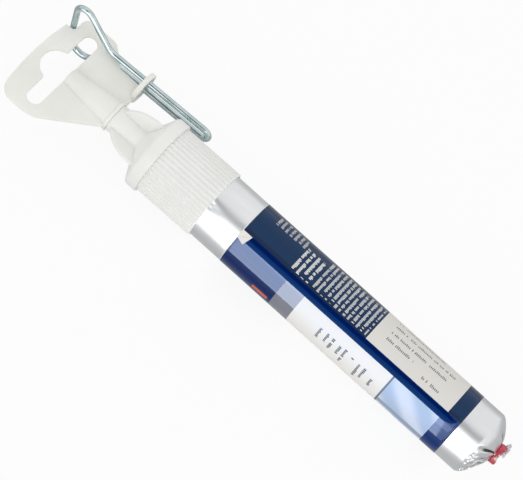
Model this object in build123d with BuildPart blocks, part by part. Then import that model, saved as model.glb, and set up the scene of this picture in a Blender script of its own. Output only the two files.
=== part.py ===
from build123d import *
import math
import os

# Hand sealant pack at rest: a soft foil pack with a clipped tail, a ribbed nozzle head over its front,
# and a push-on hanging cap that carries the wire winding key.
# +X runs along the pack towards its tail, the key is on the +Y side, and +Z is up.
# The origin is on the surface that the pack lies on, below the middle of its length.

# Foil pack
pack_radius = 12.5
front_bare = 13.4
tail_bare = 9.5
collar_squeeze = 0.25
squeeze_run = 1.0
flat_depth = 0.6
shoulder_length = 5.8
bulge_back = 3.0
bulge_drop = 3.0
bundle_radius = 2.3
pleat_count = 13
pleat_half_width = 1.5
pleat_flank = 38
pleat_start = 0.5
pleat_foot = 0.7
tuft_length = 1.7
tuft_span = 6.6
tuft_fold = 1.5
tuft_folds = 3
tuft_flare = 14

# Label film
label_length = 96.9
label_film = 0.15
label_gap = 0.05
label_lap_angle = 14
label_seam_angle = 120

# Tail clip
clip_length = 3.2
clip_wall = 0.8
clip_spread = 0.4
clip_gap = 0.06
clip_leg_angle = 150
clip_edge = 0.3

# Nozzle head
band_radius = 14.3
band_length = 4.5
band_chamfer = 0.7
collar_length = 23.6
collar_radius = 13.4
collar_wall = 0.75
rib_depth = 0.3
rib_width = 0.9
rib_count = 48
cone_length = 4.6
cone_wall = 1.3
neck_radius = 5.25
neck_length = 12.3
neck_wall = 1.65
tip_wall = 1.15
fin_reach = 11.8
fin_thickness = 1.2
fin_count = 4
fin_turn = 75
fin_start = 1.4
fin_shoulder = 2.0
fin_embed = 0.4
pack_setback = 3.0
pack_front_slope = 3.0

# Hanging cap
cap_length = 19.9
cap_end_radius = 3.25
cap_mouth_radius = 5.24
cap_wall = 0.9
cap_end_wall = 1.5
tip_clearance = 0.3
tip_end_gap = 0.6
seat_gap = 0.1
flange_radius = 5.9
flange_length = 1.2
plate_thickness = 1.3
plate_reach = 14.7
plate_free_half = 21.7
plate_bow = 1.2
plate_corner = 5.5
plate_heel_x = 0.7
plate_heel_round = 5.0
plate_foot_half = 5.4
slot_width = 5.8
slot_length = 35.2
slot_eye_radius = 6.5
slot_eye_shift = 1.8
lobe_half = 21.8
lobe_length = 12.8
lobe_round = 3.0
lobe_slope_run = 7.0
lobe_slope_round = 4.0
web_half = 15.4
web_round = 2.0
eye_half_width = 5.4
eye_half_reach = 6.4
eye_wall = 1.2
eye_length = 1.9
eye_offset = 1.4
eye_overlap = 0.8

# Winding key
wire_radius = 1.15
wire_sides = 24
key_clearance = 0.4
key_x_from_plate = 3.9
key_offset = 16.2
key_lean = 1.73
key_length = 59.6
leg_spacing = 4.9
flare_start = 18.3
flare_angle = 42
flare_round = 5.0
handle_round = 4.65
bend_margin = 0.01

# Stations along X
head_length = (
    plate_reach + cap_length + flange_length + seat_gap + neck_length + cone_length + band_length + collar_length
)
pack_length = front_bare + label_length + tail_bare + shoulder_length + clip_length + tuft_length
mouth_x = head_length - (head_length + pack_length) / 2
band_x = mouth_x - collar_length
cone_x = band_x - band_length
neck_x = cone_x - cone_length
seat_x = neck_x - neck_length
cap_mouth_x = seat_x - seat_gap
flange_x = cap_mouth_x - flange_length
cap_x = flange_x - cap_length
plate_x = cap_x - plate_reach

# Radii that fit each other
collar_bore = collar_radius - collar_wall
collar_root = collar_radius - rib_depth
pack_in_collar = pack_radius - collar_squeeze
label_radius = pack_radius + label_gap + label_film
cone_slope = (band_radius - neck_radius) / cone_length
cap_taper = (cap_mouth_radius - cap_end_radius) / cap_length

# The head lies level on its band, and the pack slopes from the middle of the collar to its flattened tail
head_plane = Plane(origin=(0, 0, band_radius), x_dir=(1, 0, 0), z_dir=(0, -1, 0))
head_axis = Axis((0, 0, band_radius), (1, 0, 0))
pivot_x = mouth_x - collar_length / 2
shoulder_run = collar_length / 2 + front_bare + label_length + tail_bare
pack_drop = band_radius - (label_radius - flat_depth)
pack_tilt = math.asin(pack_drop / shoulder_run)
pack_way = Vector(math.cos(pack_tilt), 0, -math.sin(pack_tilt))
pack_origin = Vector(pivot_x, 0, band_radius)
pack_axis = Axis(pack_origin, pack_way)


def pack_section(run):
    # Cross-section of the pack, its local y pointing up
    return Plane(origin=pack_origin + pack_way * run, x_dir=(0, 1, 0), z_dir=pack_way)


def pack_radial(angle):
    # Plane through the pack's axis, turned about it
    return Plane(origin=pack_origin, x_dir=pack_way, z_dir=Vector(0, -1, 0).rotate(pack_axis, angle))


def head_section(x):
    # Cross-section of the head, its local x along +Y
    return Plane(origin=(x, 0, band_radius), x_dir=(0, 1, 0), z_dir=(1, 0, 0))


# Foil pack: turned body, pleated shoulder, and a folded tuft that comes through the clip
front_run = cone_x + pack_setback - pivot_x
mouth_run = collar_length / 2
clip_run = shoulder_run + shoulder_length
tuft_run = clip_run + clip_length
bulge_run = shoulder_run + bulge_back
bulge_radius = pack_radius - bulge_drop
with BuildPart() as foil_pack:
    with BuildSketch(pack_radial(0)):
        with BuildLine():
            Polyline(
                (tuft_run, bundle_radius),
                (tuft_run, 0),
                (front_run, 0),
                (front_run, pack_in_collar - pack_front_slope),
                (front_run + pack_front_slope, pack_in_collar),
                (mouth_run - squeeze_run, pack_in_collar),
                (mouth_run + squeeze_run, pack_radius),
                (shoulder_run, pack_radius),
                (bulge_run, bulge_radius),
                (clip_run, bundle_radius),
                close=True,
            )
        make_face()
    revolve(axis=pack_axis)
    for pleat in range(pleat_count):
        with BuildSketch(pack_radial(360 * (pleat + 0.5) / pleat_count)):
            with BuildLine():
                Polyline(
                    (shoulder_run + pleat_start, pack_radius),
                    (clip_run, bundle_radius + pleat_foot),
                    (clip_run + shoulder_length, pack_radius),
                    close=True,
                )
            make_face()
        extrude(amount=pleat_half_width, both=True, taper=pleat_flank, mode=Mode.SUBTRACT)
    with BuildSketch(pack_section(tuft_run)):
        with PolarLocations(0, tuft_folds, angular_range=180, endpoint=False):
            SlotOverall(tuft_span, tuft_fold)
    extrude(amount=tuft_length, taper=-tuft_flare)
    split(bisect_by=Plane.XY.offset(label_gap + label_film))
foil_pack.part.label = "foil_pack"

# Label film: wrapped round the pack with a lap, and flat where the pack is flat
label_run = mouth_run + front_bare
with BuildPart() as label:
    with BuildSketch(pack_section(label_run)):
        Circle(label_radius)
        with BuildLine():
            outer_lap = CenterArc((0, 0), label_radius + label_film, label_seam_angle, label_lap_angle)
            inner_lap = CenterArc((0, 0), label_radius - label_film, label_seam_angle, label_lap_angle)
            Line(outer_lap @ 0, inner_lap @ 0)
            Line(outer_lap @ 1, inner_lap @ 1)
        make_face()
    extrude(amount=label_length)
    split(bisect_by=Plane.XY)
    with BuildSketch(pack_section(label_run)):
        Circle(label_radius - label_film)
    pack_room = extrude(amount=label_length, mode=Mode.PRIVATE)
    pack_room = split(pack_room, bisect_by=Plane.XY.offset(label_film), mode=Mode.PRIVATE)
    add(pack_room, mode=Mode.SUBTRACT)
label.part.label = "label"

# Tail clip: a strip crimped round the bundle, one leg lapped over the other
clip_bore = bundle_radius + clip_gap
with BuildPart() as tail_clip:
    with BuildSketch(pack_section(clip_run)):
        SlotCenterToCenter(2 * clip_spread, 2 * (clip_bore + clip_wall))
        with BuildLine():
            outer_leg = CenterArc((clip_spread, 0), clip_bore + 2 * clip_wall, -90, clip_leg_angle)
            inner_leg = CenterArc((clip_spread, 0), clip_bore + clip_wall / 2, -90, clip_leg_angle)
            Line(outer_leg @ 0, inner_leg @ 0)
            Line(outer_leg @ 1, inner_leg @ 1)
        make_face()
        Circle(clip_bore, mode=Mode.SUBTRACT)
    extrude(amount=clip_length)
    chamfer(faces().sort_by(pack_axis)[-1].outer_wire().edges(), clip_edge)
tail_clip.part.label = "tail_clip"

# Nozzle head: hollow turned form with a ribbed collar and four fins
tip_end_x = cap_x + cap_end_wall + tip_end_gap
tip_end_radius = cap_end_radius + cap_taper * (tip_end_x - cap_x) - cap_wall - tip_clearance
tip_base_radius = cap_mouth_radius - cap_wall - tip_clearance
neck_bore = neck_radius - neck_wall
tip_bore = tip_end_radius - tip_wall
cone_bore_x = neck_x + cone_wall + (neck_bore - neck_radius) / cone_slope
band_bore_x = neck_x + cone_wall + (collar_bore - neck_radius) / cone_slope
fin_x = seat_x + fin_start
fin_end_x = neck_x + (fin_reach - neck_radius) / cone_slope
with BuildPart() as nozzle_head:
    with BuildSketch(head_plane):
        with BuildLine():
            Polyline(
                (tip_end_x, tip_bore),
                (tip_end_x, tip_end_radius),
                (seat_x, tip_base_radius),
                (seat_x, neck_radius),
                (neck_x, neck_radius),
                (cone_x, band_radius),
                (band_x, band_radius),
                (band_x, collar_root),
                (mouth_x, collar_root),
                (mouth_x, collar_bore),
                (band_bore_x, collar_bore),
                (cone_bore_x, neck_bore),
                close=True,
            )
        make_face()
        chamfer(vertices().sort_by_distance((cone_x, band_radius))[0], band_chamfer)
    revolve(axis=head_axis)
    with BuildSketch(head_section(band_x)):
        with PolarLocations(collar_root, rib_count):
            Rectangle(2 * rib_depth, rib_width)
    extrude(amount=collar_length)
    for fin in range(fin_count):
        with BuildSketch(head_plane.rotated((fin_turn + 360 * fin / fin_count, 0, 0))):
            with BuildLine():
                Line((fin_end_x - fin_shoulder, fin_reach), (fin_end_x + fin_embed, fin_reach))
                Polyline(
                    (fin_end_x + fin_embed, fin_reach),
                    (neck_x + fin_embed, neck_radius),
                    (neck_x + fin_embed, neck_radius - fin_embed),
                    (fin_x, neck_radius - fin_embed),
                    (fin_x, neck_radius),
                )
                TangentArc(
                    (fin_end_x - fin_shoulder, fin_reach), (fin_x, neck_radius), tangent=(-1, 0)
                )
            make_face()
        extrude(amount=fin_thickness / 2, both=True)
nozzle_head.part.label = "nozzle_head"

# Winding key: one wire bent into a hairpin with a flared handle,
# its round drawn with many flats to keep the bends light
key_x = plate_x + key_x_from_plate
lean = math.radians(key_lean)
key_plane = Plane(
    origin=(key_x, key_offset, band_radius),
    x_dir=(math.cos(lean), math.sin(lean), 0),
    z_dir=(math.sin(lean), -math.cos(lean), 0),
)
handle_peak = leg_spacing / 2 + flare_start * math.tan(math.radians(flare_angle))
bend_round = leg_spacing / 2 - bend_margin
with BuildPart() as winding_key:
    with BuildLine(key_plane):
        route = FilletPolyline(
            (key_length, leg_spacing / 2),
            (flare_start, leg_spacing / 2),
            (0, handle_peak),
            (0, -handle_peak),
            (flare_start, -leg_spacing / 2),
            (key_length, -leg_spacing / 2),
            radius=(bend_round, flare_round, handle_round, handle_round, flare_round, bend_round),
            close=True,
        )
    with BuildSketch(Plane(origin=route @ 0, z_dir=route % 0)):
        RegularPolygon(wire_radius, wire_sides)
    sweep(path=route)
winding_key.part.label = "winding_key"

# Hanging cap: tapered cap, flange and key eye on a plate with a hook slot and a notch for the key
plate_free_x = plate_x + plate_bow
notch_round = wire_radius + key_clearance
notch_half = key_offset - notch_round
lobe_x = key_x + notch_round
lobe_corner = min(lobe_round, lobe_half - notch_half - notch_round - bend_margin)
lobe_end_x = lobe_x + lobe_length
slot_x = cap_x - slot_width / 2
eye_x = cap_mouth_x - eye_overlap
key_at_eye = key_offset + math.tan(lean) * (eye_x - key_x)
with BuildPart() as hanger_cap:
    with BuildSketch(Plane.XY.offset(band_radius)):
        with BuildLine():
            ThreePointArc(
                (plate_free_x, notch_half), (plate_x, 0), (plate_free_x + plate_bow / 2, -plate_free_half)
            )
            Polyline(
                (plate_free_x + plate_bow / 2, -plate_free_half),
                (cap_x + plate_heel_x, -plate_free_half),
                (cap_mouth_x, -plate_foot_half),
                (cap_mouth_x, web_half),
                (lobe_end_x + lobe_slope_run, web_half),
                (lobe_end_x, lobe_half),
                (lobe_x, lobe_half),
                (lobe_x, notch_half),
                (plate_free_x, notch_half),
            )
        make_face()
        corner_rounds = (
            ((plate_free_x + plate_bow / 2, -plate_free_half), plate_corner),
            ((cap_x + plate_heel_x, -plate_free_half), plate_heel_round),
            ((lobe_end_x + lobe_slope_run, web_half), web_round),
            ((lobe_end_x, lobe_half), lobe_slope_round),
            ((lobe_x, lobe_half), lobe_corner),
            ((lobe_x, notch_half), notch_round),
        )
        for corner, radius in corner_rounds:
            fillet(vertices().sort_by_distance(corner)[0], radius)
        with Locations((slot_x, 0)):
            SlotOverall(slot_length, slot_width, rotation=90, mode=Mode.SUBTRACT)
        with Locations((slot_x - slot_eye_shift, 0)):
            Circle(slot_eye_radius, mode=Mode.SUBTRACT)
    extrude(amount=plate_thickness / 2, both=True)
    with BuildSketch(head_plane):
        with BuildLine():
            Polyline(
                (cap_x, 0),
                (cap_x, cap_end_radius),
                (flange_x, cap_mouth_radius),
                (flange_x, flange_radius),
                (cap_mouth_x, flange_radius),
                (cap_mouth_x, 0),
                close=True,
            )
        make_face()
    revolve(axis=head_axis)
    with BuildSketch(head_section(eye_x)):
        with Locations((key_at_eye - eye_offset, 0)):
            Ellipse(eye_half_reach, eye_half_width)
            Ellipse(eye_half_reach - eye_wall, eye_half_width - eye_wall, mode=Mode.SUBTRACT)
    extrude(amount=eye_length)
    with BuildSketch(head_plane):
        with BuildLine():
            Polyline(
                (cap_x + cap_end_wall, 0),
                (cap_x + cap_end_wall, cap_end_radius + cap_taper * cap_end_wall - cap_wall),
                (cap_mouth_x, cap_mouth_radius - cap_wall),
                (cap_mouth_x, 0),
                close=True,
            )
        make_face()
    revolve(axis=head_axis, mode=Mode.SUBTRACT)
hanger_cap.part.label = "hanger_cap"

os.makedirs("parts", exist_ok=True)
for piece in (foil_pack, label, tail_clip, nozzle_head, hanger_cap, winding_key):
    export_step(piece.part, f"parts/{piece.part.label}.step")
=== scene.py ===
import math

import bmesh
import bpy
from mathutils import Matrix, Vector, noise


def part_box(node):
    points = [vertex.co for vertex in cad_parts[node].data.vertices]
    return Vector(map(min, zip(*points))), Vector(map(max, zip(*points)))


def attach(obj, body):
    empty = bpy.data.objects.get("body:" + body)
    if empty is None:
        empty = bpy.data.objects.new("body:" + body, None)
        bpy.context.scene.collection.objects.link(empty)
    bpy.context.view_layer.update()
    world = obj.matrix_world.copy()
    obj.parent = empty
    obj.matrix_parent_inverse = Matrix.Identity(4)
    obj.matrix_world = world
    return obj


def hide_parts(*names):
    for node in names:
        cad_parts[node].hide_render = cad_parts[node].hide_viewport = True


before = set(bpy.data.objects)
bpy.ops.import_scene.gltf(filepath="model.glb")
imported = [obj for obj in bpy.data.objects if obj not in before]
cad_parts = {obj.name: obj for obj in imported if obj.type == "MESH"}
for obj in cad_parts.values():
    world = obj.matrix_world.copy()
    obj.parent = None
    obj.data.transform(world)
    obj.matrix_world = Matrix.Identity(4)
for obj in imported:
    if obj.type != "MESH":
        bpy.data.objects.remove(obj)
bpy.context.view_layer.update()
scene = bpy.context.scene
scene.view_settings.view_transform = "Standard"
toMetres = Matrix.Scale(0.001, 4)  # pieces are drawn in millimetres

# Where the frame puts the pieces, in millimetres
headLow, headHigh = (corner * 1000 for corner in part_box("nozzle_head"))
axisHeight = (headLow.z + headHigh.z) / 2
mouthX = headHigh.x
headPlace = toMetres @ Matrix.Translation((0, 0, axisHeight))

packLine = {
    "pivotBack": 11.8,  # from the collar's mouth back to where the pack's axis starts to slope
    "drop": 2.2,
    "dropRun": 131.6,
}
packTilt = math.asin(packLine["drop"] / packLine["dropRun"])
packPlace = (
    toMetres
    @ Matrix.Translation((mouthX - packLine["pivotBack"], 0, axisHeight))
    @ Matrix.Rotation(packTilt, 4, "Y")
)


# Camera at the photograph's angle, for a picture of 523 by 480
cameraPlan = {
    "lean": 4.4,  # towards the tail, from square on
    "turn": 30.0,  # from straight above towards the front
    "roll": 41.4,
    "aim": (-5.2, 0.0, 14.3),
    "sideShift": 1.6,
    "distance": 1190.0,
    "lens": 243.5,
    "sensor": 36.0,
    "farClip": 20.0,  # metres
}


def cameraAxes(plan):
    lean, turn = math.radians(plan["lean"]), math.radians(plan["turn"])
    back = Vector((math.sin(lean), -math.cos(lean) * math.sin(turn), math.cos(lean) * math.cos(turn)))
    along = Vector((1, 0, 0))
    along = (along - along.dot(back) * back).normalized()
    return along, back.cross(along), back


def placeCamera(plan):
    along, across, back = cameraAxes(plan)
    roll = math.radians(plan["roll"])
    right = along * math.cos(roll) + across * math.sin(roll)
    up = across * math.cos(roll) - along * math.sin(roll)
    spot = Vector(plan["aim"]) + across * plan["sideShift"] + back * plan["distance"]
    lensData = bpy.data.cameras.new("viewCamera")
    lensData.lens = plan["lens"]
    lensData.sensor_width = plan["sensor"]
    lensData.clip_end = plan["farClip"]
    camera = bpy.data.objects.new("viewCamera", lensData)
    facing = Matrix((right, up, back)).transposed().to_4x4()
    camera.matrix_world = toMetres @ Matrix.Translation(spot) @ facing
    camera.scale = (1, 1, 1)
    scene.collection.objects.link(camera)
    scene.camera = camera


placeCamera(cameraPlan)
print("camera placed")


# Shader sockets with Python operators
class Wire:
    def __init__(self, tree, socket=None):
        self.tree = tree
        self.socket = socket

    def node(self, kind, settings=None, inputs=None, output=0):
        made = self.tree.nodes.new(kind)
        for name, value in (settings or {}).items():
            setattr(made, name, value)
        for name, value in (inputs or {}).items():
            if isinstance(value, Wire):
                self.tree.links.new(value.socket, made.inputs[name])
            else:
                made.inputs[name].default_value = value
        return Wire(self.tree, made.outputs[output])

    def math(self, operation, first, second=0.0):
        return self.node("ShaderNodeMath", {"operation": operation}, {0: first, 1: second})

    def __add__(self, other):
        return self.math("ADD", self, other)

    def __radd__(self, other):
        return self.math("ADD", other, self)

    def __sub__(self, other):
        return self.math("SUBTRACT", self, other)

    def __rsub__(self, other):
        return self.math("SUBTRACT", other, self)

    def __mul__(self, other):
        return self.math("MULTIPLY", self, other)

    def __rmul__(self, other):
        return self.math("MULTIPLY", other, self)

    def __truediv__(self, other):
        return self.math("DIVIDE", self, other)

    def __rtruediv__(self, other):
        return self.math("DIVIDE", other, self)

    def __gt__(self, other):
        return self.math("GREATER_THAN", self, other)

    def __lt__(self, other):
        return self.math("LESS_THAN", self, other)

    def whole(self):
        return self.math("FLOOR", self)

    def part(self):
        return self.math("FRACT", self)

    def between(self, low, high):
        return (self > low) * (self < high)

    def ramp(self, low, high, outLow=0.0, outHigh=1.0):
        return self.node("ShaderNodeMapRange", {"interpolation_type": "SMOOTHSTEP"}, {
            "Value": self, "From Min": low, "From Max": high, "To Min": outLow, "To Max": outHigh,
        })

    def paint(self, under, over):  # self is the mask
        return self.node("ShaderNodeMix", {"data_type": "RGBA"}, {0: self, 6: under, 7: over}, 2)


def tint(red, green, blue):  # screen levels of 255, as linear light
    channels = [value / 255 for value in (red, green, blue)]
    return tuple(c / 12.92 if c <= 0.04045 else ((c + 0.055) / 1.055) ** 2.4 for c in channels) + (1.0,)


def newMaterial(name, constants):
    material = bpy.data.materials.new(name)
    material.use_nodes = True
    tree = material.node_tree
    shader = tree.nodes["Principled BSDF"]
    for socket, value in constants.items():
        shader.inputs[socket].default_value = value
    return material, Wire(tree), shader


def feed(shader, links):
    for socket, wire in links.items():
        wire.tree.links.new(wire.socket, shader.inputs[socket])


def objectNoise(wire, scale, detail=2.0, stretch=(1, 1, 1), rough=0.5):
    place = wire.node("ShaderNodeTexCoord", output=3)
    place = wire.node("ShaderNodeMapping", {}, {"Vector": place, "Scale": stretch})
    return wire.node("ShaderNodeTexNoise", {}, {
        "Vector": place, "Scale": scale, "Detail": detail, "Roughness": rough,
    })


def attribute(wire, name):
    return wire.node("ShaderNodeAttribute", {"attribute_name": name}, output=2)


def bump(wire, height, strength, distance):
    return wire.node("ShaderNodeBump", {}, {"Height": height, "Strength": strength, "Distance": distance})


# Finishes
def mouldedPlastic(name, shade, deeper):
    material, wire, shader = newMaterial(name, {
        "Specular IOR Level": 0.2, "Subsurface Weight": 0.12, "Subsurface Radius": (1.0, 1.0, 0.9),
        "Subsurface Scale": 0.0012,
    })
    cloud = objectNoise(wire, scale=60, detail=3.0)
    grain = objectNoise(wire, scale=2600)
    feed(shader, {
        "Base Color": cloud.ramp(0.3, 0.7).paint(shade, deeper),
        "Roughness": 0.36 + cloud * 0.16,
        "Normal": bump(wire, grain, strength=0.06, distance=0.00002),
    })
    return material


def brightFoil(name, rough, deep, pale):
    material, wire, shader = newMaterial(name, {"Metallic": 1.0})
    cloud = objectNoise(wire, scale=90, detail=3.0, stretch=(0.35, 1, 1))
    wrinkle = objectNoise(wire, scale=420, detail=4.0, stretch=(0.5, 1, 1), rough=0.6)
    fold = attribute(wire, "foilCreaseShade")
    # painted shade: the base colour darkens towards the grey shadow tint in creases, by the foilCreaseShade
    # attribute
    bright, shadow = cloud.ramp(0.3, 0.75).paint(deep, pale), tint(104, 106, 103)
    feed(shader, {
        "Base Color": fold.ramp(0.3, 1.5, 0.0, 0.85).paint(bright, shadow),
        "Roughness": rough + cloud * 0.12,
        "Normal": bump(wire, wrinkle, strength=0.10, distance=0.0002),
    })
    return material


def platedWire():
    material, wire, shader = newMaterial("platedWire", {"Metallic": 1.0})
    drawn = objectNoise(wire, scale=700, detail=1.0, stretch=(0.02, 1, 1))
    cloud = objectNoise(wire, scale=240)
    feed(shader, {
        "Base Color": cloud.ramp(0.3, 0.7).paint(tint(180, 199, 202), tint(206, 219, 220)),
        "Roughness": 0.09 + drawn * 0.05,
    })
    return material


def redLacquer():
    material, wire, shader = newMaterial("redLacquer", {"Coat Roughness": 0.12})
    worn = attribute(wire, "clipWear")
    chips = objectNoise(wire, scale=900, detail=4.0, rough=0.65)
    scuff = (chips + worn * 0.3).ramp(0.62, 0.7)
    cloud = objectNoise(wire, scale=500)
    red, bare = cloud.ramp(0.3, 0.7).paint(tint(168, 30, 56), tint(204, 58, 84)), tint(196, 187, 180)
    feed(shader, {
        "Base Color": scuff.paint(red, bare),
        "Metallic": scuff * 0.25,
        "Roughness": 0.34 + scuff * 0.2,
        "Coat Weight": (1 - scuff) * 0.6,
        "Normal": bump(wire, cloud, strength=0.2, distance=0.0002),
    })
    return material


# Printed film: fields by the distance along the film and the angle round its sheet
printPlan = {
    "backPanel": 147.0,  # the navy panel ends here, in degrees round the sheet
    "stripe": 359.3,  # the deep blue strip along the free edge starts here
    "stripeMiddle": 366.6,
    "stripeHalf": 7.4,
    "stripeEnd": 95.0,  # the strip's end is rounded
    "stripeRound": 3.4,
    "lapTurn": 13.2,  # bare strip under the lap
    "frontBlue": 22.2,  # ends of the front panel's fields, in millimetres along
    "greyBlock": 30.2,
    "whiteField": 69.8,
    "thinBar": 70.5,
    "bandedField": 90.2,
    "noteStart": 54.6,  # pale field on the navy panel
    "noteEnd": 91.2,
    "margin": 0.28,
    "varnish": (317, 331),  # the varnish comes in over these degrees
    "columns": (  # rows of bars: along from, along to, pitch, round from, round to, strength
        (19.9, 28.9, 2.25, 17, 66, 0.95),
        (29.4, 53.8, 1.95, 17, 84, 0.75),
        (6.3, 19.5, 1.95, 58, 84, 0.6),
    ),
    "columnStroke": 2.3,  # degrees for one stroke
    "columnShift": 3.7,  # degrees from one row's strokes to the next row's
    "noteRows": (  # round, along from, along to
        (27, 77.0, 84.6), (37, 59.6, 71.5), (51, 59.6, 84.0), (67, 59.6, 86.0), (84, 59.6, 80.0),
    ),
    "noteHalf": 4.4,
    "noteStroke": 0.64,
    "noteGap": 0.42,
    "noteInk": 0.85,
    "frontBars": (  # along, round from, round to
        (41.6, 318, 339), (44.7, 322, 340), (47.1, 316, 340), (50.3, 320, 338), (52.6, 310, 340),
        (55.9, 330, 338), (59.1, 305, 336), (61.4, 308, 338), (65.2, 312, 330),
    ),
    "barHalf": 0.95,
    "barStroke": 3.4,
    "barInk": 0.95,
    "bandWave": (0.09, 0.35),  # for each degree round and each millimetre along
    "darkBand": (296, 309),
    "tick": (14.2, 20.8, 300, 309),  # orange mark: along from, along to, round from, round to
}


strokePlan = {
    "gap": 0.24,  # bare share of a stroke's run
    "missing": 0.16,  # share of strokes left out
    "short": 0.6,  # strokes up to this share are short
    "foot": 0.2,  # heights, as shares of the row
    "top": 0.62,
    "tallExtra": 0.14,
}


def printedLine(wire, run, row, height, size, gap=strokePlan["gap"]):  # a row of uneven strokes
    place = wire.node("ShaderNodeCombineXYZ", {}, {0: (run / size).whole(), 1: row})
    chance = wire.node("ShaderNodeTexWhiteNoise", {"noise_dimensions": "2D"}, {"Vector": place})
    top = strokePlan["top"] + (chance > strokePlan["short"]) * strokePlan["tallExtra"]
    inked = (chance > strokePlan["missing"]) * ((run / size).part() > gap)
    return inked * height.between(strokePlan["foot"], top)


def printedFilm(plan):
    material, wire, shader = newMaterial("printedFilm", {
        "Specular IOR Level": 0.5, "Specular Tint": (0.1, 0.4, 1.0, 1.0),
        "Coat IOR": 1.5, "Coat Roughness": 0.06,
    })
    along = attribute(wire, "filmAlong")
    around = attribute(wire, "filmAround")
    navy, deepBlue, block = tint(37, 51, 76), tint(0, 26, 88), tint(0, 38, 104)
    white, note, orange = tint(240, 237, 231), tint(226, 222, 214), tint(212, 96, 40)
    grey, barGrey, ink, noteInk = tint(132, 132, 140), tint(112, 116, 124), tint(64, 64, 70), tint(80, 80, 82)
    bandDeep, bandPale, bandDark = tint(176, 194, 220), tint(214, 223, 239), tint(150, 164, 182)
    # front panel, from the nozzle end to the tail
    front = (along > plan["frontBlue"]).paint(deepBlue, grey)
    front = (along > plan["greyBlock"]).paint(front, white)
    for spot, low, high in plan["frontBars"]:
        height = (along - spot) / (2 * plan["barHalf"]) + 0.5
        line = around.between(low, high) * printedLine(wire, around, spot, height, plan["barStroke"])
        front = (line * plan["barInk"]).paint(front, ink)
    front = (along > plan["whiteField"]).paint(front, barGrey)
    waveAround, waveAlong = plan["bandWave"]
    wave = wire.math("SINE", around * waveAround + along * waveAlong)
    banded = wave.ramp(-1, 1).paint(bandDeep, bandPale)
    banded = around.between(*plan["darkBand"]).paint(banded, bandDark)
    front = (along > plan["thinBar"]).paint(front, banded)
    front = (along > plan["bandedField"]).paint(front, block)
    tickStart, tickEnd, tickLow, tickHigh = plan["tick"]
    tick = along.between(tickStart, tickEnd) * around.between(tickLow, tickHigh)
    front = tick.paint(front, orange)
    # back panel
    back = navy
    for low, high, pitch, first, last, strength in plan["columns"]:
        spread = (along - low) / pitch
        run = around + spread.whole() * plan["columnShift"]
        line = printedLine(wire, run, spread.whole(), spread.part(), plan["columnStroke"])
        back = (line * along.between(low, high) * around.between(first, last) * strength).paint(back, white)
    noteField = along.between(plan["noteStart"], plan["noteEnd"])
    back = noteField.paint(back, note)
    for spot, low, high in plan["noteRows"]:
        height = (around - spot) / (2 * plan["noteHalf"]) + 0.5
        line = printedLine(wire, along, spot, height, plan["noteStroke"], plan["noteGap"])
        back = (line * along.between(low, high) * plan["noteInk"]).paint(back, noteInk)
    onFront = around > plan["backPanel"]
    colour = onFront.paint(back, front)
    offset = (around - plan["stripeMiddle"]) / plan["stripeHalf"]
    stripe = (around > plan["stripe"]) * (along < plan["stripeEnd"] - offset * offset * plan["stripeRound"])
    colour = stripe.paint(colour, deepBlue)
    colour = (along < plan["margin"]).paint(colour, white)
    colour = (around < plan["lapTurn"]).paint(colour, white)
    # the pale fields are matte, and the strip has no varnish
    rub = objectNoise(wire, scale=700, detail=3.0)
    pale = onFront * (around < plan["stripe"]) * along.between(plan["greyBlock"], plan["bandedField"])
    matte = wire.math("MAXIMUM", pale, (around < plan["backPanel"]) * noteField)
    varnish = around.ramp(*plan["varnish"]) * (1 - stripe) * (1 - matte)
    feed(shader, {"Base Color": colour, "Roughness": 0.05 + rub * 0.05 + matte * 0.4, "Coat Weight": varnish})
    return material


finishes = {
    "head": mouldedPlastic("headPlastic", tint(240, 240, 237), tint(235, 235, 231)),
    "cap": mouldedPlastic("capPlastic", tint(240, 240, 235), tint(234, 234, 228)),
    "foil": brightFoil("brightFoil", 0.27, tint(226, 228, 230), tint(240, 241, 242)),
    # painted shade: the tuft is the pack's foil in darker tones
    "tuft": brightFoil("shadedTuftFoil", 0.4, tint(172, 174, 173), tint(204, 206, 205)),
    "wire": platedWire(),
    "clip": redLacquer(),
    "film": printedFilm(printPlan),
}
print("finishes mixed")


# Mesh helpers
def chain(bm, points, closed=False):
    verts = [bm.verts.new(point) for point in points]
    pairs = list(zip(verts, verts[1:]))
    if closed:
        pairs.append((verts[-1], verts[0]))
    return verts, [bm.edges.new(pair) for pair in pairs]


def roundCorners(bm, corners, segments=4):
    for spot, offset in [(vert.co.copy(), offset) for vert, offset in corners]:
        corner = min(bm.verts, key=lambda vert: (vert.co - spot).length_squared)
        bmesh.ops.bevel(
            bm, geom=[corner], offset=offset, offset_type="OFFSET", affect="VERTICES",
            segments=segments, profile=0.5, material=-1,
        )


sharpTurn = 1.2  # radians between the faces at an edge that is to be rounded


def closeUp(bm):
    bmesh.ops.remove_doubles(bm, verts=bm.verts, dist=1e-4)
    bmesh.ops.recalc_face_normals(bm, faces=bm.faces)


def outlineChain(bm, outline, closed=False):  # points are along, radius and corner round
    verts = chain(bm, [(along, 0, radius) for along, radius, size in outline], closed)[0]
    roundCorners(bm, [(vert, size) for vert, (along, radius, size) in zip(verts, outline) if size])


def shift(bm, vec):
    bmesh.ops.translate(bm, verts=bm.verts, vec=vec)


def turn(bm, degrees, axis="X"):
    bmesh.ops.rotate(
        bm, verts=bm.verts, cent=(0, 0, 0), matrix=Matrix.Rotation(math.radians(degrees), 3, axis),
    )


def onlyVerts(items):
    return [item for item in items if isinstance(item, bmesh.types.BMVert)]


def onlyEdges(items):
    return [item for item in items if isinstance(item, bmesh.types.BMEdge)]


def raiseFaces(bm, faces, vec):
    risen = bmesh.ops.extrude_face_region(bm, geom=faces)["geom"]
    bmesh.ops.translate(bm, verts=onlyVerts(risen), vec=vec)
    bmesh.ops.recalc_face_normals(bm, faces=bm.faces)


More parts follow.
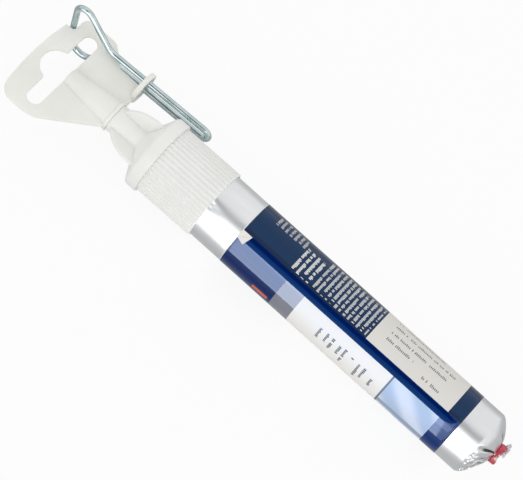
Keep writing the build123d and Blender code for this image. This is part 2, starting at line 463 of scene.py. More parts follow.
def roundEdges(bm, edges, offset, segments):
    bmesh.ops.bevel(
        bm, geom=edges, offset=offset, offset_type="OFFSET", affect="EDGES", segments=segments,
        profile=0.5, material=-1, clamp_overlap=True,
    )


def sweepPoint(bm, vert, centre, axis, angle, steps):
    made = bmesh.ops.spin(
        bm, geom=[vert], cent=centre, axis=axis, dvec=(0, 0, 0), angle=angle, steps=steps,
        use_merge=False, use_duplicate=False,
    )
    return onlyVerts(made["geom_last"])[0]


def spinRound(bm, steps, angle=math.tau):
    full = angle == math.tau
    bmesh.ops.spin(
        bm, geom=bm.verts[:] + bm.edges[:], cent=(0, 0, 0), axis=(1, 0, 0), dvec=(0, 0, 0),
        angle=angle, steps=steps, use_merge=full, use_duplicate=False,
    )
    if full:
        closeUp(bm)


def finishPiece(name, forms, place, finish, body, node=None, sharpAngle=50):
    whole = bmesh.new()
    for form in forms:
        piece = bpy.data.meshes.new("form")
        form.to_mesh(piece)
        form.free()
        whole.from_mesh(piece)
        bpy.data.meshes.remove(piece)
    bmesh.ops.transform(whole, matrix=place, verts=whole.verts)
    mesh = bpy.data.meshes.new(name)
    whole.to_mesh(mesh)
    whole.free()
    mesh.shade_smooth()
    mesh.set_sharp_from_angle(angle=math.radians(sharpAngle))
    mesh.materials.append(finish)
    piece = bpy.data.objects.new(name, mesh)
    scene.collection.objects.link(piece)
    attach(piece, body)
    if node:
        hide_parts(node)
    print(name, len(mesh.polygons), "faces")
    return piece


def smooth(low, high, value):
    share = min(1.0, max(0.0, (value - low) / (high - low)))
    return share * share * (3 - 2 * share)


# Foil pack: turned, then dented, pleated and crumpled
foilForm = {
    "radius": 12.5,
    "inCollar": 12.58,
    "front": -13.3,
    "frontRadius": 10.0,
    "frontRun": 2.0,
    "mouth": 11.8,
    "mouthStep": 1.0,  # each side of the collar's mouth, where the foil leaves it
    "shoulder": 131.6,
    "shoulderRun": 12.0,  # finely divided ahead of the shoulder
    "gatherLead": 0.6,  # the gathering starts this far ahead of the shoulder
    "clip": 137.4,
    "end": 139.1,
    "cuts": (6, 40, 14, 30, 6),  # rings, from the mouth to the end
    "bundle": 2.2,
    "tightest": 0.8,  # of the bundle's radius
    "domeBend": 1.5,
    "domeFall": 0.62,
    "pleats": (  # degrees round, depth, half width in degrees, and where it starts
        (14, 1.2, 9, 0.2), (38, 1.0, 8, 0.25), (63, 1.5, 7, 0.3), (93, 0.6, 9, 0.45), (123, 2.3, 4, 0.02),
        (148, 0.9, 6, 0.3), (166, 1.2, 6, 0.2), (183, 1.1, 6, 0.15), (200, 1.3, 6, 0.1), (222, 1.2, 8, 0.1),
        (248, 1.3, 9, 0.1), (275, 1.2, 9, 0.1), (303, 1.3, 9, 0.1), (334, 1.2, 9, 0.15),
    ),
    "pleatRun": 0.5,  # shares of the gathering: where a pleat deepens, and where it eases
    "pleatEase": (0.8, 1.0),
    "pleatLoss": 0.5,
    "pleatWander": 9.0,  # degrees
    "wanderScale": (2.0, 0.8),  # round, along
    "crushed": (132, 150, 228, 250),  # degrees round: the side that is crumpled most
    "crumple": (0.12, 1.5),  # everywhere, and added on that side
    "crumpleScale": (3.5, 5.0),  # along, round
    "crumpleSeed": 1,
    "crumpleWarp": (0.6, 0.5),  # scale, amount
    "crumpleFine": (2.1, 0.45),  # scale, amount
    "crumpleStart": (-0.12, 0.2),
    "crumpleShade": (0.25, 1.6),  # painted shade on the crushed side's ridges: ridge that it starts at, amount
    # shares of the gathering over which the painted crease shade comes in
    "foldStart": (0.05, 0.7),
    "dent": 0.07,
    "dentScale": (0.03, 0.8),  # along, round
    "press": (0.35, 3.0, 124, 9),  # hollow at the mouth: depth, half run, degrees round, half width
    "turns": 240,
    "lean": (0.78, 0.45),  # the gathered neck lies off the axis
    "leanLag": 1.0,
    "floorGap": 0.17,
}


def packDent(run, angle):  # soft dents that the foil and the film share
    scaleAlong, scaleRound = foilForm["dentScale"]
    place = Vector((run * scaleAlong, math.cos(angle) * scaleRound, math.sin(angle) * scaleRound))
    return foilForm["dent"] * noise.noise(place)


def foilShoulder(form, share, angle):  # its radius, and how much painted shade it gets: the fold's depth plus the crushed side's ridges
    dome = (1 - min(1.0, share) ** form["domeBend"]) ** form["domeFall"]
    radius = form["bundle"] + (form["radius"] - form["bundle"]) * dome
    across, up, degrees = math.cos(angle), math.sin(angle), math.degrees(angle)
    scaleRound, scaleAlong = form["wanderScale"]
    place = Vector((across * scaleRound, up * scaleRound, share * scaleAlong))
    wander = form["pleatWander"] * noise.noise(place)
    fold = 0.0
    for spot, depth, width, begin in form["pleats"]:
        away = (degrees - spot + wander + 180) % 360 - 180
        fold += depth * smooth(begin, begin + form["pleatRun"], share) * math.exp(-(away / width) ** 2)
    fold *= 1 - form["pleatLoss"] * smooth(*form["pleatEase"], share)
    rising, full, falling, gone = form["crushed"]
    low = smooth(rising, full, degrees) * (1 - smooth(falling, gone, degrees))
    scaleAlong, scaleRound = form["crumpleScale"]
    place = Vector((share * scaleAlong, across * scaleRound, up * scaleRound))
    warpScale, warp = form["crumpleWarp"]
    place += warp * noise.noise_vector(place * warpScale)
    fineScale, fine = form["crumpleFine"]
    ridge = abs(noise.noise(place)) + fine * abs(noise.noise(place * fineScale))
    plain, crushed = form["crumple"]
    crumple = (plain + crushed * low) * ridge * smooth(*form["crumpleStart"], share)
    shadeStart, shade = form["crumpleShade"]
    depth = fold + shade * low * max(0.0, ridge - shadeStart)
    return max(form["bundle"] * form["tightest"], radius - fold - crumple), depth


def makeFoilPack(form):
    bm = bmesh.new()
    gatherX = form["shoulder"] - form["gatherLead"]
    gathered = form["clip"] - form["shoulder"] + form["gatherLead"]
    corners = [
        (form["front"], 0), (form["front"], form["frontRadius"]),
        (form["front"] + form["frontRun"], form["inCollar"]),
        (form["mouth"] - form["mouthStep"], form["inCollar"]),
        (form["mouth"] + form["mouthStep"], form["radius"]),
        (form["shoulder"] - form["shoulderRun"], form["radius"]), (gatherX, form["radius"]),
        (form["clip"], form["radius"]), (form["end"], form["radius"]), (form["end"], 0),
    ]
    edges = chain(bm, [(along, 0, radius) for along, radius in corners])[1]
    for edge, cuts in zip(edges[3:], form["cuts"]):
        bmesh.ops.subdivide_edges(bm, edges=[edge], cuts=cuts)
    spinRound(bm, form["turns"])
    noise.seed_set(form["crumpleSeed"])  # noise_vector takes its offsets from the seed
    creaseShadeLayer = bm.verts.layers.float.new("foilCreaseShade")
    pressDepth, pressRun, pressSpot, pressWidth = form["press"]
    for vert in bm.verts:
        run, radius = vert.co.x, math.hypot(vert.co.y, vert.co.z)
        if radius < form["bundle"]:  # the middle of an end
            continue
        angle = math.atan2(vert.co.z, vert.co.y) % math.tau
        if run > gatherX:
            share = (run - form["shoulder"] + form["gatherLead"]) / gathered
            new, fold = foilShoulder(form, share, angle)
            # painted crease shade, which darkens the foil's base colour
            vert[creaseShadeLayer] = fold * smooth(*form["foldStart"], share)
        elif run > form["mouth"] - form["mouthStep"]:
            new = radius + packDent(run, angle)
            near = math.exp(-((run - form["mouth"]) / pressRun) ** 2)
            away = (angle - math.radians(pressSpot)) / math.radians(pressWidth)
            new -= pressDepth * near * math.exp(-away ** 2)
        else:
            new = radius
        aside = smooth(form["shoulder"] + form["leanLag"], form["clip"], run)
        vert.co.y = math.cos(angle) * new + form["lean"][0] * aside
        vert.co.z = math.sin(angle) * new + form["lean"][1] * aside
    bmesh.ops.transform(bm, matrix=toMetres.inverted() @ packPlace, verts=bm.verts)
    for vert in bm.verts:
        vert.co.z = max(vert.co.z, form["floorGap"])
    return finishPiece("foilPack", [bm], toMetres, finishes["foil"], "pack", "foil_pack")


makeFoilPack(foilForm)


# Label film: one sheet wound round the pack, its free edge lapped towards the viewer
filmForm = {
    "start": 25.2,
    "length": 96.9,
    "radius": 12.55,
    "film": 0.06,
    "innerEdge": 131.0,  # degrees from the key side towards the top
    "turn": 374.0,
    "lapTurn": 14.0,
    "lapEase": 9.0,  # degrees over which the film rises onto its lap
    "lift": 0.075,
    "steps": 374,
    "frontRun": 5.5,  # finely divided, for the folded corner
    "frontCuts": 21,
    "cuts": 60,
    "cornerAlong": 4.3,  # the free corner that is folded back
    "cornerAround": 15.0,
    "cornerRise": 0.35,
    "cornerCurl": 1.5,
    "cornerGap": 1.5,  # thicknesses of film
    "floorGap": 0.06,
}


def foldCorner(form, along, left, perDegree):
    over = 1 - along / form["cornerAlong"] - left / form["cornerAround"]
    if over <= 0:
        return along, left, 0.0
    legAlong, legAround = form["cornerAlong"], form["cornerAround"] * perDegree
    normal = Vector((1 / legAlong, 1 / legAround))
    moved = Vector((along, left * perDegree)) + normal * (2 * over / normal.length_squared)
    rise = form["film"] * form["cornerGap"] + form["cornerRise"] * over ** form["cornerCurl"]
    return moved.x, moved.y / perDegree, rise


def makeFilm(form):
    bm = bmesh.new()
    runs = (form["start"], form["start"] + form["frontRun"], form["start"] + form["length"])
    edges = chain(bm, [(run, form["radius"], 0) for run in runs])[1]
    for edge, cuts in zip(edges, (form["frontCuts"], form["cuts"])):
        bmesh.ops.subdivide_edges(bm, edges=[edge], cuts=cuts)
    perStep = len(bm.verts)
    spinRound(bm, form["steps"], -math.radians(form["turn"]))
    alongLayer = bm.verts.layers.float.new("filmAlong")
    aroundLayer = bm.verts.layers.float.new("filmAround")
    bm.verts.ensure_lookup_table()
    degrees = form["turn"] / form["steps"]
    perDegree = math.radians(form["radius"])  # millimetres round
    lapStart = form["turn"] - form["lapTurn"]
    for index, vert in enumerate(bm.verts):
        along, around = vert.co.x - form["start"], (index // perStep) * degrees
        newAlong, left, rise = foldCorner(form, along, form["turn"] - around, perDegree)
        vert[alongLayer] = -1.0 if rise > 0 else along  # the fold shows the film's bare back
        vert[aroundLayer] = around
        angle = math.radians(form["innerEdge"] - form["turn"] + left)
        run = form["start"] + newAlong
        lap = form["lift"] * smooth(lapStart - form["lapEase"], lapStart, around)
        radius = form["radius"] + packDent(run, angle) + lap + rise
        vert.co = (run, math.cos(angle) * radius, math.sin(angle) * radius)
    bmesh.ops.recalc_face_normals(bm, faces=bm.faces)
    bm.faces.ensure_lookup_table()
    middle = bm.faces[len(bm.faces) // 2]
    centre = middle.calc_center_median()
    if middle.normal.dot(Vector((0, centre.y, centre.z))) < 0:
        bmesh.ops.reverse_faces(bm, faces=bm.faces)
    bmesh.ops.transform(bm, matrix=toMetres.inverted() @ packPlace, verts=bm.verts)
    for vert in bm.verts:
        vert.co.z = max(vert.co.z, form["floorGap"] + form["film"])
    film = finishPiece(
        "labelFilm", [bm], toMetres, finishes["film"], "pack", "label", sharpAngle=60,
    )
    wall = film.modifiers.new("filmWall", "SOLIDIFY")
    wall.thickness = form["film"] * 0.001
    wall.offset = 1.0
    return film


makeFilm(filmForm)


# Tail clip: a strip crimped round the bundle, one leg lapped over the other
clipForm = {
    "start": 137.1,
    "length": 2.5,
    "bore": 1.9,
    "wall": 0.9,
    "turn": 480.0,
    "steps": 120,
    "edge": 0.4,
    "across": 30.0,  # the knot lies this way, in degrees
    "spread": 0.75,
    "waist": 0.55,
    "width": (0.62, 0.42),  # of the length at the waist, and added at the knot
    "lap": 0.8,  # thicknesses of the wall
    "lapTurns": (290, 385),
    "dent": 0.35,
    "dentScale": (0.9, 2.2, 120.0),  # along, round, and degrees turned
    "waver": 0.3,
    "waverScale": (40.0, 0.4),  # degrees turned, and along
    "waverRow": 3.0,
    "wearBehind": (0.0, 0.9),
    "wearAcross": (0.25, 0.6),
    "wearShift": 0.2,
    "lean": foilForm["lean"],
}


def makeClip(form):
    bm = bmesh.new()
    end, outer = form["start"] + form["length"], form["bore"] + form["wall"]
    corners = ((form["start"], form["bore"]), (form["start"], outer), (end, outer), (end, form["bore"]))
    verts = chain(bm, [(along, radius, 0) for along, radius in corners], closed=True)[0]
    roundCorners(bm, [(vert, form["edge"]) for vert in verts])
    section = len(bm.verts)
    spinRound(bm, form["steps"], math.radians(form["turn"]))
    bmesh.ops.holes_fill(bm, edges=[edge for edge in bm.edges if edge.is_boundary])
    wearLayer = bm.verts.layers.float.new("clipWear")
    bm.verts.ensure_lookup_table()
    middle = form["start"] + form["length"] / 2
    scaleAlong, scaleRound, dentTurn = form["dentScale"]
    waverTurn, waverAlong = form["waverScale"]
    narrow, widening = form["width"]
    for index, vert in enumerate(bm.verts):
        turned = (index // section) / form["steps"] * form["turn"]
        angle = math.atan2(vert.co.z, vert.co.y)
        side, up = math.cos(angle), math.sin(angle)
        across = math.cos(angle - math.radians(form["across"]))
        knot = across ** 2
        behind = (vert.co.x - middle) / form["length"] * 2
        lap = form["wall"] * form["lap"] * smooth(*form["lapTurns"], turned)
        place = Vector((vert.co.x * scaleAlong, side * scaleRound, up * scaleRound + turned / dentTurn))
        radius = math.hypot(vert.co.y, vert.co.z) + lap + form["dent"] * noise.noise(place)
        radius = radius + form["spread"] * knot - form["waist"] * (1 - knot)
        vert.co.x = middle + (vert.co.x - middle) * (narrow + widening * knot)
        place = Vector((turned / waverTurn, form["waverRow"], vert.co.x * waverAlong))
        vert.co.x += form["waver"] * noise.noise(place)
        vert.co.y, vert.co.z = side * radius, up * radius
        bareAcross = 1 - smooth(*form["wearAcross"], abs(across + form["wearShift"]))
        vert[wearLayer] = smooth(*form["wearBehind"], behind) * bareAcross
    bmesh.ops.recalc_face_normals(bm, faces=bm.faces)
    shift(bm, (0, *form["lean"]))
    return finishPiece("tailClip", [bm], packPlace, finishes["clip"], "pack", "tail_clip")


makeClip(clipForm)


# Tuft of foil that comes through the clip, fanned out towards the key side
tuftForm = {
    "spot": (139.5, 3.3, 1.9),
    "half": (1.35, 2.4, 1.3),
    "turn": 30.0,
    "detail": 5,
    "folds": 3.0,
    "fold": 0.26,
    "wander": 2.0,
    "wanderScale": 1.4,
    "crumple": 0.45,
    "crumpleScale": 1.7,
    "fine": 0.3,
    "fineScale": 4.0,
}


def makeTuft(form):
    bm = bmesh.new()
    bmesh.ops.create_icosphere(bm, subdivisions=form["detail"], radius=1.0)
    for vert in bm.verts:
        ahead = vert.co.normalized()
        wander = form["wander"] * noise.noise(ahead * form["wanderScale"])
        fold = abs(math.sin(form["folds"] * math.atan2(ahead.z, ahead.y) + wander))
        fine = form["fine"] * abs(noise.noise(ahead * form["fineScale"]))
        crumple = noise.noise(ahead * form["crumpleScale"]) + fine
        vert.co = ahead * (1 - form["fold"] * fold + form["crumple"] * crumple)
    bmesh.ops.scale(bm, verts=bm.verts, vec=form["half"])
    turn(bm, form["turn"])
    shift(bm, form["spot"])
    return finishPiece("foilTuft", [bm], packPlace, finishes["tuft"], "pack")


makeTuft(tuftForm)


# Nozzle head: turned shell, ribs raised on the collar, four fins
headForm = {
    "collarLength": 23.6,
    "bandLength": 4.5,
    "coneLength": 4.6,
    "neckLength": 12.3,
    "tipLength": 19.1,
    "collarRoot": 12.96,
    "bore": 12.65,
    "bandRadius": 14.3,
    "neckRadius": 5.25,
    "tipBase": 4.04,
    "tipEnd": 2.26,
    "tipBore": 1.1,
    "neckBore": 3.6,
    "coneWall": 1.5,  # along the axis
    "neckWall": 0.5,
    "tipRound": 0.35,
    "seatRound": 0.15,
    "neckRound": 0.9,
    "coneRound": 0.9,
    "bandRound": 0.4,
    "mouthRound": 0.2,
    "boreRound": 0.15,
    "ribs": 48,
    "ribDepth": 0.4,
    "groove": 0.25,
    "grooveRun": 0.8,
    "ribShape": (0, 0, 0.35, 0.9, 1.0, 0.9, 0.35, 0),
    "ribCuts": 10,
    "ribMargin": 0.1,  # left plain at the collar's two ends
    "rootSlack": 0.05,  # points this near the root are raised
    "lineSlack": 0.001,  # points this near the root's line lie on it
    "ringMargin": (0.05, 0.3),
    "ringSpread": 1.7,
    "finReach": 11.8,
    "finStart": 1.4,
    "finShoulder": 2.0,
    "finEmbed": 0.4,
    "finThickness": 1.2,
    "finEdge": 0.25,
    "finSteps": 12,
    "finTurns": (75, 165, 255, 345),
    "nub": (1.8, 0.7, 1.1),
    "nubEdge": 0.2,
    "nubShift": (0.3, 0.25),  # past the mouth, and out from the bore
    "nubTurn": 125,
}


def makeFin(form, neckX, degrees):
    seatX = neckX - form["neckLength"]
    slope = (form["bandRadius"] - form["neckRadius"]) / form["coneLength"]
    topX = neckX + (form["finReach"] - form["neckRadius"]) / slope
    startX, shoulderX = seatX + form["finStart"], topX - form["finShoulder"]
    bm = bmesh.new()
    top = bm.verts.new((shoulderX, 0, form["finReach"]))
    across, down = shoulderX - startX, form["finReach"] - form["neckRadius"]
    radius = (across ** 2 + down ** 2) / (2 * down)
    centre = (shoulderX, 0, form["finReach"] - radius)
    foot = sweepPoint(bm, top, centre, (0, 1, 0), -math.asin(across / radius), form["finSteps"])
    inside, innerX = form["neckRadius"] - form["finEmbed"], neckX + form["finEmbed"]
    rest = chain(bm, [
        (startX, 0, inside), (innerX, 0, inside), (innerX, 0, form["neckRadius"]),
        (topX + form["finEmbed"], 0, form["finReach"]),
    ])[0]
    bm.edges.new((foot, rest[0]))
    bm.edges.new((rest[-1], top))
    flat = bmesh.ops.contextual_create(bm, geom=bm.edges[:])["faces"]
    shift(bm, (0, -form["finThickness"] / 2, 0))
    raiseFaces(bm, flat, (0, form["finThickness"], 0))
    rims = [edge for edge in bm.edges if edge.calc_face_angle(0) > sharpTurn]
    roundEdges(bm, rims, form["finEdge"], 2)
    turn(bm, degrees - 90)
    return bm


def makeNub(form):
    bm = bmesh.new()
    bmesh.ops.create_cube(bm, size=1.0)
    bmesh.ops.scale(bm, verts=bm.verts, vec=form["nub"])
    roundEdges(bm, bm.edges[:], form["nubEdge"], 2)
    past, out = form["nubShift"]
    shift(bm, (mouthX + past, form["bore"] + out, 0))
    turn(bm, form["nubTurn"])
    return bm


def makeHead(form):
    bandX = mouthX - form["collarLength"]
    coneX = bandX - form["bandLength"]
    neckX = coneX - form["coneLength"]
    seatX = neckX - form["neckLength"]
    tipX, root = seatX - form["tipLength"], form["collarRoot"]
    bm = bmesh.new()
    outlineChain(bm, [
        (tipX, form["tipBore"], 0), (tipX, form["tipEnd"], form["tipRound"]), (seatX, form["tipBase"], 0),
        (seatX, form["neckRadius"], form["seatRound"]), (neckX, form["neckRadius"], form["neckRound"]),
        (coneX, form["bandRadius"], form["coneRound"]), (bandX, form["bandRadius"], form["bandRound"]),
        (bandX, root, 0), (mouthX, root, form["mouthRound"]), (mouthX, form["bore"], form["boreRound"]),
        (coneX + form["coneWall"], form["bore"], 0), (neckX + form["neckWall"], form["neckBore"], 0),
    ], closed=True)
    onRoot = {vert for vert in bm.verts if abs(vert.co.z - root) < form["lineSlack"]}
    collar = [edge for edge in bm.edges if onRoot.issuperset(edge.verts)]
    bmesh.ops.subdivide_edges(bm, edges=collar, cuts=form["ribCuts"])
    firstGap, lastGap = form["ringMargin"]
    for vert in bm.verts:  # the first rings close up behind the band
        inRun = bandX + firstGap < vert.co.x < mouthX - lastGap
        if inRun and abs(vert.co.z - root) < form["lineSlack"]:
            share = (vert.co.x - bandX) / form["collarLength"]
            vert.co.x = bandX + form["collarLength"] * share ** form["ringSpread"]
    perPitch = len(form["ribShape"])
    spinRound(bm, form["ribs"] * perPitch)
    for vert in bm.verts:
        radius = math.hypot(vert.co.y, vert.co.z)
        inRun = bandX + form["ribMargin"] < vert.co.x < mouthX - form["ribMargin"]
        if inRun and abs(radius - root) < form["rootSlack"]:
            step = round(math.atan2(vert.co.z, vert.co.y) / math.tau * form["ribs"] * perPitch)
            height = form["ribShape"][step % perPitch]
            rise = form["ribDepth"] * height
            if vert.co.x < bandX + form["grooveRun"]:
                rise -= form["groove"] * (1 - height)
            scale = (radius + rise) / radius
            vert.co.y, vert.co.z = vert.co.y * scale, vert.co.z * scale
    fins = [makeFin(form, neckX, degrees) for degrees in form["finTurns"]]
    return finishPiece(
        "nozzleHead", [bm, makeNub(form)] + fins, headPlace, finishes["head"], "pack",
        "nozzle_head", sharpAngle=40,
    )


makeHead(headForm)


# Hanging cap: plate with hook slot and notch, tapered cap, flange and key eye
capForm = {
    "plateX": -105.7,
    "capX": -91.0,
    "flangeX": -71.1,
    "mouthX": -69.84,
    "thickness": 1.3,
    "edge": 0.32,
    "bow": 1.2,
    "freeHalf": 21.7,
    "notchHalf": 14.65,
    "lobeX": -101.0,
    "lobeEndX": -87.45,
    "lobeHalf": 22.1,
    "slopeRun": 7.0,
    "webHalf": 15.4,
    "footHalf": 5.4,
    "heelX": 0.7,
    "freeRound": 5.5,  # corners of the plate
    "heelRound": 11.0,
    "webRound": 2.0,
    "lobeFootRound": 4.0,
    "lobeRound": 3.0,
    "notchRound": 1.55,
    "notchEdge": 0.5,
    "freeSteps": 5,
    "roundSteps": 7,
    "slotX": -93.9,
    "slotWidth": 5.8,
    "slotLength": 35.2,
    "slotEye": 6.5,
    "slotEyeShift": 1.8,
    "slotEyeRound": 0.7,
    "slotEyeSteps": 18,
    "slotEndSteps": 12,
    "endRadius": 3.25,
    "baseRadius": 5.24,
    "flangeRadius": 5.9,
    "wall": 0.9,
    "endWall": 1.5,
    "endRound": 0.6,
    "flangeFoot": 0.35,
    "flangeRound": 0.3,
    "mouthRound": 0.2,
    "boreRound": 0.15,
    "turns": 96,
    "eyeX": -71.5,
    "eyeLength": 1.9,
    "eyeSide": 15.74,
    "eyeReach": 6.4,
    "eyeHalf": 5.4,
    "eyeWall": 1.2,
    "eyeEdge": 0.42,
    "eyeTurns": 72,
}


def tangentLength(vert, radius):
    first, second = ((edge.other_vert(vert).co - vert.co) for edge in vert.link_edges)
    return radius / math.tan(first.angle(second) / 2)


def drawSlot(bm, form):  # two straight sides, two round ends and a round eye on the free side
    halfWidth, straight = form["slotWidth"] / 2, (form["slotLength"] - form["slotWidth"]) / 2
    eyeX = form["slotX"] - form["slotEyeShift"]
    reach = math.sqrt(form["slotEye"] ** 2 - (form["slotX"] - halfWidth - eyeX) ** 2)
    half = math.pi - math.atan2(reach, form["slotX"] - halfWidth - eyeX)
    upper = bm.verts.new((form["slotX"] - halfWidth, reach, 0))
    lower = sweepPoint(bm, upper, (eyeX, 0, 0), (0, 0, 1), 2 * half, form["slotEyeSteps"])
    lowLeft = bm.verts.new((form["slotX"] - halfWidth, -straight, 0))
    lowEnd, highEnd, steps = (form["slotX"], -straight, 0), (form["slotX"], straight, 0), form["slotEndSteps"]
    lowRight = sweepPoint(bm, lowLeft, lowEnd, (0, 0, 1), math.pi, steps)
    highRight = bm.verts.new((form["slotX"] + halfWidth, straight, 0))
    highLeft = sweepPoint(bm, highRight, highEnd, (0, 0, 1), math.pi, steps)
    for pair in ((lower, lowLeft), (lowRight, highRight), (highLeft, upper)):
        bm.edges.new(pair)
    roundCorners(bm, [(upper, form["slotEyeRound"]), (lower, form["slotEyeRound"])])


def makePlate(form):
    bm = bmesh.new()
    freeX, half = form["plateX"] + form["bow"], form["freeHalf"]
    start = Vector((freeX, form["notchHalf"], 0))
    last = Vector((freeX + form["bow"] / 2, -half, 0))
    middle = Vector((form["plateX"], 0, 0))
    # centre of the free edge's arc, from the two chords' perpendiculars
    a, b = start - middle, last - middle
    cross = 2 * (a.x * b.y - a.y * b.x)
    centre = middle + Vector((
        (b.y * a.length_squared - a.y * b.length_squared) / cross,
        (a.x * b.length_squared - b.x * a.length_squared) / cross, 0,
    ))
    sweep = (start - centre).to_2d().angle_signed((last - centre).to_2d())
    first = bm.verts.new(start)
    corner = sweepPoint(bm, first, centre, (0, 0, 1), -sweep, form["freeSteps"])
    # the plate stops inside the cap's wall, so that the bore stays open
    innerX, halfWall = form["capX"] + form["endWall"] / 2, form["wall"] / 2
    mouthHalf, innerHalf = form["baseRadius"] - halfWall, form["endRadius"] - halfWall
    outline = [  # along, across, corner radius
        (form["capX"] + form["heelX"], -half, form["heelRound"]), (form["mouthX"], -form["footHalf"], 0),
        (form["mouthX"], -mouthHalf, 0), (innerX, -innerHalf, 0), (innerX, innerHalf, 0),
        (form["mouthX"], mouthHalf, 0), (form["mouthX"], form["webHalf"], 0),
        (form["lobeEndX"] + form["slopeRun"], form["webHalf"], form["webRound"]),
        (form["lobeEndX"], form["lobeHalf"], form["lobeFootRound"]),
        (form["lobeX"], form["lobeHalf"], form["lobeRound"]),
        (form["lobeX"], form["notchHalf"], form["notchRound"]),
    ]
    rest = chain(bm, [(along, across, 0) for along, across, radius in outline])[0]
    bm.edges.new((corner, rest[0]))
    bm.edges.new((rest[-1], first))
    rounds = [(corner, form["freeRound"])]
    rounds += [(vert, radius) for vert, (along, across, radius) in zip(rest, outline) if radius]
    rounds.append((first, form["notchEdge"]))
    roundCorners(bm, [(vert, tangentLength(vert, radius)) for vert, radius in rounds], form["roundSteps"])
    drawSlot(bm, form)
    bmesh.ops.triangle_fill(bm, use_beauty=True, use_dissolve=False, edges=bm.edges[:])
    inner = [edge for edge in bm.edges if not edge.is_boundary]
    bmesh.ops.dissolve_limit(bm, angle_limit=0.01, verts=bm.verts[:], edges=inner)
    shift(bm, (0, 0, -form["thickness"] / 2))
    raiseFaces(bm, bm.faces[:], (0, 0, form["thickness"]))
    rims = []
    for edge in bm.edges:
        level = edge.verts[0].co.z * edge.verts[1].co.z > 0
        if level and edge.calc_face_angle(0) > sharpTurn:
            rims.append(edge)
    roundEdges(bm, rims, form["edge"], 3)
    return bm


def makeCapShell(form):
    bm = bmesh.new()
    taper = (form["baseRadius"] - form["endRadius"]) / (form["flangeX"] - form["capX"])
    insideX = form["capX"] + form["endWall"]
    outlineChain(bm, [
        (form["capX"], 0, 0), (form["capX"], form["endRadius"], form["endRound"]),
        (form["flangeX"], form["baseRadius"], form["flangeFoot"]),
        (form["flangeX"], form["flangeRadius"], form["flangeRound"]),
        (form["mouthX"], form["flangeRadius"], form["mouthRound"]),
        (form["mouthX"], form["baseRadius"] - form["wall"], form["boreRound"]),
        (insideX, form["endRadius"] + taper * form["endWall"] - form["wall"], 0), (insideX, 0, 0),
    ])
    spinRound(bm, form["turns"])
    return bm


def makeEye(form):
    bm = bmesh.new()
    mean = (form["eyeReach"] + form["eyeHalf"]) / 2
    inner, edge = mean - form["eyeWall"], form["eyeEdge"]
    frontX, backX = form["eyeX"], form["eyeX"] + form["eyeLength"]
    section = ((frontX, inner, edge), (frontX, mean, edge), (backX, mean, edge), (backX, inner, edge))
    outlineChain(bm, section, closed=True)
    spinRound(bm, form["eyeTurns"])
    bmesh.ops.scale(bm, verts=bm.verts, vec=(1, form["eyeReach"] / mean, form["eyeHalf"] / mean))
    shift(bm, (0, form["eyeSide"], 0))
    return bm


finishPiece(
    "hangingCap", [makePlate(capForm), makeCapShell(capForm), makeEye(capForm)], headPlace,
    finishes["cap"], "cap", "hanger_cap", sharpAngle=38,
)


# Winding key: one wire, bent along its route
keyForm = {
    "wire": 1.15,
    "sides": 24,
    "startX": -103.1,
    "offset": 16.2,
    "lean": 1.73,
    "length": 60.5,
    "spacing": 4.9,
    "flareStart": 16.2,
    "flareRound": 5.0,
    "handleTop": (-1.6, 18.08),  # corners of the handle, before they are rounded
    "handleFoot": (3.3, -20.5),
    "handleRound": 3.3,
    "footRound": 5.5,
    "bendStep": 0.12,  # radians
    "leastSteps": 5,
}


def makeKey(form):
    half = form["spacing"] / 2
    route = [Vector(point) for point in (
        (form["length"] - half, half), (form["flareStart"], half), form["handleTop"], form["handleFoot"],
        (form["flareStart"], -half), (form["length"] - half, -half),
    )]
    rounds = (form["flareRound"], form["handleRound"], form["footRound"], form["flareRound"])
    moves, spent = [], 0.0
    for index, radius in enumerate(rounds):
        before, after = route[index + 1] - route[index], route[index + 2] - route[index + 1]
        bend = -before.angle_signed(after)
        cut = radius * math.tan(abs(bend) / 2)
        moves += [("run", before.length - spent - cut), ("bend", bend, radius)]
        spent = cut
    moves += [("run", (route[-1] - route[-2]).length - spent), ("bend", math.pi, half)]
    bm = bmesh.new()
    bmesh.ops.create_circle(bm, cap_ends=False, segments=form["sides"], radius=form["wire"])
    turn(bm, 90, "Y")
    spot, heading = Vector((form["length"] - half, 0, half)), math.pi
    shift(bm, spot)
    ring = bm.edges[:]
    for kind, amount, *radius in moves:
        ahead = Vector((math.cos(heading), 0, math.sin(heading)))
        if kind == "run":
            risen = bmesh.ops.extrude_edge_only(bm, edges=ring)["geom"]
            bmesh.ops.translate(bm, verts=onlyVerts(risen), vec=ahead * amount)
            ring = onlyEdges(risen)
            spot = spot + ahead * amount
        else:
            side = Vector((-ahead.z, 0, ahead.x)) * math.copysign(radius[0], amount)
            centre = spot + side
            steps = max(form["leastSteps"], round(abs(amount) / form["bendStep"]))
            made = bmesh.ops.spin(
                bm, geom=ring, cent=centre, axis=(0, -1, 0), dvec=(0, 0, 0), angle=amount,
                steps=steps, use_merge=False, use_duplicate=False,
            )
            ring = onlyEdges(made["geom_last"])
            spot = centre + Matrix.Rotation(amount, 3, Vector((0, -1, 0))) @ (spot - centre)
            heading += amount
    closeUp(bm)
    place = headPlace @ Matrix.Translation((form["startX"], form["offset"], 0))
    place = place @ Matrix.Rotation(math.radians(form["lean"]), 4, "Z")
    return finishPiece(
        "windingKey", [bm], place, finishes["wire"], "key", "winding_key", sharpAngle=60,
    )


makeKey(keyForm)

# Floor
floorPlan = {
    "size": 6.0,
    "drop": 0.0002,
    "colour": (0.86, 0.86, 0.86, 1.0),
    "share": 0.9,  # of the plain pale glow that the camera sees
    "mirrored": 0.5,
}


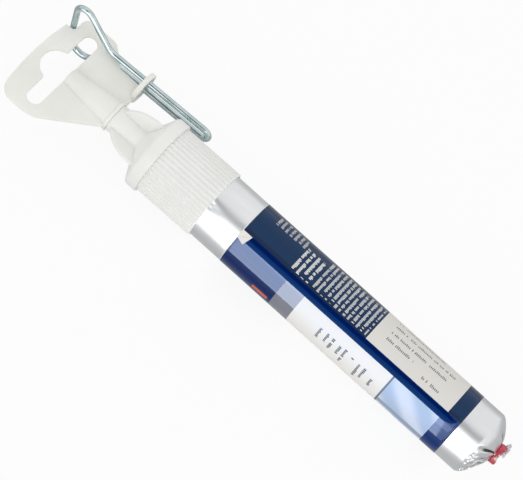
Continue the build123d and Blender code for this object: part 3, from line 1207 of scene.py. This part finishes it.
def makeFloor(plan):
    bm = bmesh.new()
    bmesh.ops.create_grid(bm, x_segments=1, y_segments=1, size=plan["size"] / 2)
    shift(bm, (0, 0, -plan["drop"]))
    mesh = bpy.data.meshes.new("floor")
    bm.to_mesh(mesh)
    bm.free()
    floor = bpy.data.objects.new("floor", mesh)
    scene.collection.objects.link(floor)
    material = bpy.data.materials.new("paleFloor")
    material.use_nodes = True
    wire = Wire(material.node_tree)
    material.node_tree.nodes.remove(material.node_tree.nodes["Principled BSDF"])
    seen = wire.node("ShaderNodeLightPath", output=0)
    mirrored = wire.node("ShaderNodeLightPath", output=3)
    through = wire.node("ShaderNodeLightPath", output=6)
    matte = wire.node("ShaderNodeBsdfDiffuse", {}, {"Color": plan["colour"]})
    level = seen + through + mirrored * plan["mirrored"]
    glow = wire.node("ShaderNodeEmission", {}, {"Color": (1, 1, 1, 1), "Strength": level})
    direct = wire.math("MINIMUM", seen + mirrored + through, 1.0)
    mixed = wire.node("ShaderNodeMixShader", {}, {0: direct * plan["share"], 1: matte, 2: glow})
    out = material.node_tree.nodes["Material Output"]
    material.node_tree.links.new(mixed.socket, out.inputs["Surface"])
    mesh.materials.append(material)


makeFloor(floorPlan)

# Light: an even pale room, darker round the camera, a soft box in front and low screens for the gloss
lightPlan = {
    "room": 0.92,
    "dark": 0.1,
    "darkInner": 13.0,
    "darkOuter": 22.0,
    "boxSpot": (0.3, -1.0, 0.75),
    "boxSize": 0.8,
    "boxLevel": 1.4,
    "screens": ((-0.15, -0.014, 1.1), (-0.014, 0.0826, 4.2), (0.0826, 0.35, 1.05)),  # from, to, level
    "screenSide": -0.060,
    "screenHeight": 0.0300,
    "screenTall": 0.0589,
}


def lightRoom(plan):
    world = bpy.data.worlds.new("paleRoom")
    scene.world = world
    world.use_nodes = True
    tree = world.node_tree
    wire = Wire(tree)
    back = cameraAxes(cameraPlan)[2]
    square = Vector((0, back.y, back.z)).normalized()
    aim = wire.node("ShaderNodeTexCoord", output=0)
    aim = wire.node("ShaderNodeVectorMath", {"operation": "NORMALIZE"}, {0: aim})
    facing = wire.node("ShaderNodeVectorMath", {"operation": "DOT_PRODUCT"}, {0: aim, 1: square}, 1)
    inner, outer = (math.cos(math.radians(plan[key])) for key in ("darkInner", "darkOuter"))
    level = facing.ramp(outer, inner, plan["room"], plan["dark"])
    seen = wire.node("ShaderNodeLightPath", output=0)
    background = tree.nodes["Background"]
    background.inputs["Color"].default_value = (1, 1, 1, 1)
    strength = seen + (1 - seen) * level
    tree.links.new(strength.socket, background.inputs["Strength"])


lightRoom(lightPlan)


def addLamp(name, spot, toward, size, level):
    lamp = bpy.data.lights.new(name, "AREA")
    lamp.shape = "RECTANGLE"
    lamp.size, lamp.size_y = size
    lamp.energy = level * math.pi * size[0] * size[1]
    made = bpy.data.objects.new(name, lamp)
    made.rotation_euler = Vector(toward).to_track_quat("-Z", "Y").to_euler()
    made.location = spot
    made.visible_camera = False
    scene.collection.objects.link(made)
    return made


boxSpot = Vector(lightPlan["boxSpot"])
boxSize = (lightPlan["boxSize"], lightPlan["boxSize"])
addLamp("softBox", boxSpot, -boxSpot, boxSize, lightPlan["boxLevel"])
# low screens in front, seen only in the gloss
for screenLow, screenHigh, screenLevel in lightPlan["screens"]:
    screenSpot = ((screenLow + screenHigh) / 2, lightPlan["screenSide"], lightPlan["screenHeight"])
    screenSize = (screenHigh - screenLow, lightPlan["screenTall"])
    screen = addLamp("glossScreen", screenSpot, (0, 1, 0), screenSize, screenLevel)
    screen.visible_diffuse = False
print("lights set")
